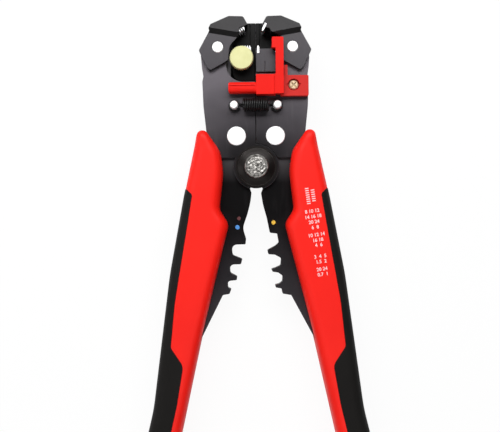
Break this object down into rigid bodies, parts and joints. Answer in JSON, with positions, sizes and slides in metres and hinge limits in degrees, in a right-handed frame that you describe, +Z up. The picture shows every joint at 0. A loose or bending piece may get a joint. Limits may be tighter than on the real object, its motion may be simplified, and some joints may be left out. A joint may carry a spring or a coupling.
{
  "type": "wire stripper",
  "caption": "Self-adjusting hand wire stripper with gripping and cutting jaws, adjustable wire stop, cutter and crimp nests, and two moulded handles.",
  "frame": {"origin": "on the pivot bolt's axis, at its back end, which is in the plane the tool lies on", "axes": "+Y from the handles to the nose, +Z up through the pivot bolt to the front, +X to the right side of the front view"},
  "size_m": [0.1026, 0.2033, 0.022],
  "materials": {
    "black_steel": "black oxide on blanked steel, satin",
    "bright_steel": "polished pin ends and ground blades",
    "black_spring_steel": "blackened spring wire",
    "red_plastic": "moulded, satin",
    "stop_plastic": "moulded, satin",
    "black_rubber": "soft overmoulding, fine grain",
    "brass": "plated pale yellow"
  },
  "bodies": {
    "pivot": {"pivot_bolt": "bright_steel", "pivot_nut": "bright_steel", "front_washer": "black_steel", "back_washer": "black_steel", "front_tension_spring": "black_spring_steel", "back_tension_spring": "black_spring_steel"},
    "left_body": {"left_front_plate": "black_steel", "left_back_plate": "black_steel", "left_jaw_pin": "bright_steel", "left_body_pin": "bright_steel", "left_spring_pin": "bright_steel", "left_lower_jaw": "black_steel", "lower_grip_pad": "bright_steel", "left_return_spring": "bright_steel"},
    "right_body": {"right_front_plate": "black_steel", "right_back_plate": "black_steel", "right_jaw_pin": "bright_steel", "right_body_pin": "bright_steel", "right_spring_pin": "bright_steel", "right_lower_jaw": "black_steel", "lower_blade": "bright_steel", "wire_stop_base": "stop_plastic", "stop_screw": "brass", "right_return_spring": "bright_steel"},
    "left_lever": {"left_lever": "black_steel", "left_handle_shell": "red_plastic", "left_soft_grip": "black_rubber"},
    "right_lever": {"right_lever": "black_steel", "right_handle_shell": "red_plastic", "right_soft_grip": "black_rubber"},
    "left_jaw": {"left_upper_jaw": "black_steel", "upper_grip_pad": "bright_steel", "left_tail_pin": "bright_steel"},
    "right_jaw": {"right_upper_jaw": "black_steel", "upper_blade": "bright_steel", "right_tail_pin": "bright_steel"},
    "stop_slider": {"wire_stop_slider": "stop_plastic"},
    "knob": {"tension_knob": "brass"}
  },
  "joints": [
    {"name": "left_strip", "type": "hinge", "parent": "pivot", "child": "left_body", "pos_m": [0, 0, 0.011], "axis": [0, 0, 1], "range_deg": [0, 6.5], "stiffness_Nm_per_rad": 4, "springref_deg": -1.15, "deforming": ["front_tension_spring", "back_tension_spring"]},
    {"name": "right_strip", "type": "hinge", "parent": "pivot", "child": "right_body", "pos_m": [0, 0, 0.011], "axis": [0, 0, 1], "range_deg": [-6.5, 0], "stiffness_Nm_per_rad": 4, "springref_deg": 1.15, "deforming": ["front_tension_spring", "back_tension_spring"]},
    {"name": "left_squeeze", "type": "hinge", "parent": "left_body", "child": "left_lever", "pos_m": [0, 0, 0.011], "axis": [0, 0, 1], "range_deg": [0, 3], "stiffness_Nm_per_rad": 3, "springref_deg": -1.72, "deforming": ["left_return_spring"]},
    {"name": "right_squeeze", "type": "hinge", "parent": "right_body", "child": "right_lever", "pos_m": [0, 0, 0.011], "axis": [0, 0, 1], "range_deg": [-3, 0], "stiffness_Nm_per_rad": 3, "springref_deg": 1.72, "deforming": ["right_return_spring"]},
    {"name": "left_jaw_swing", "type": "hinge", "parent": "left_body", "child": "left_jaw", "pos_m": [-0.0167, 0.0533, 0.011], "axis": [0, 0, 1], "range_deg": [-26, 0]},
    {"name": "right_jaw_swing", "type": "hinge", "parent": "right_body", "child": "right_jaw", "pos_m": [0.0167, 0.0533, 0.011], "axis": [0, 0, 1], "range_deg": [0, 26]},
    {"name": "stop_slide", "type": "slide", "parent": "right_body", "child": "stop_slider", "axis": [1, 0, 0], "range_m": [-0.0025, 0.0015]},
    {"name": "knob_spin", "type": "hinge", "parent": "left_body", "child": "knob", "pos_m": [-0.0061, 0.048, 0.0195], "axis": [0, 0, 1], "continuous": true}
  ],
  "couplings": [
    {"joint": "right_strip", "follows": "left_strip", "ratio": -1},
    {"joint": "right_squeeze", "follows": "left_squeeze", "ratio": -1},
    {"joint": "left_jaw_swing", "follows": "left_squeeze", "ratio": -8.6667},
    {"joint": "right_jaw_swing", "follows": "left_squeeze", "ratio": 8.6667}
  ]
}
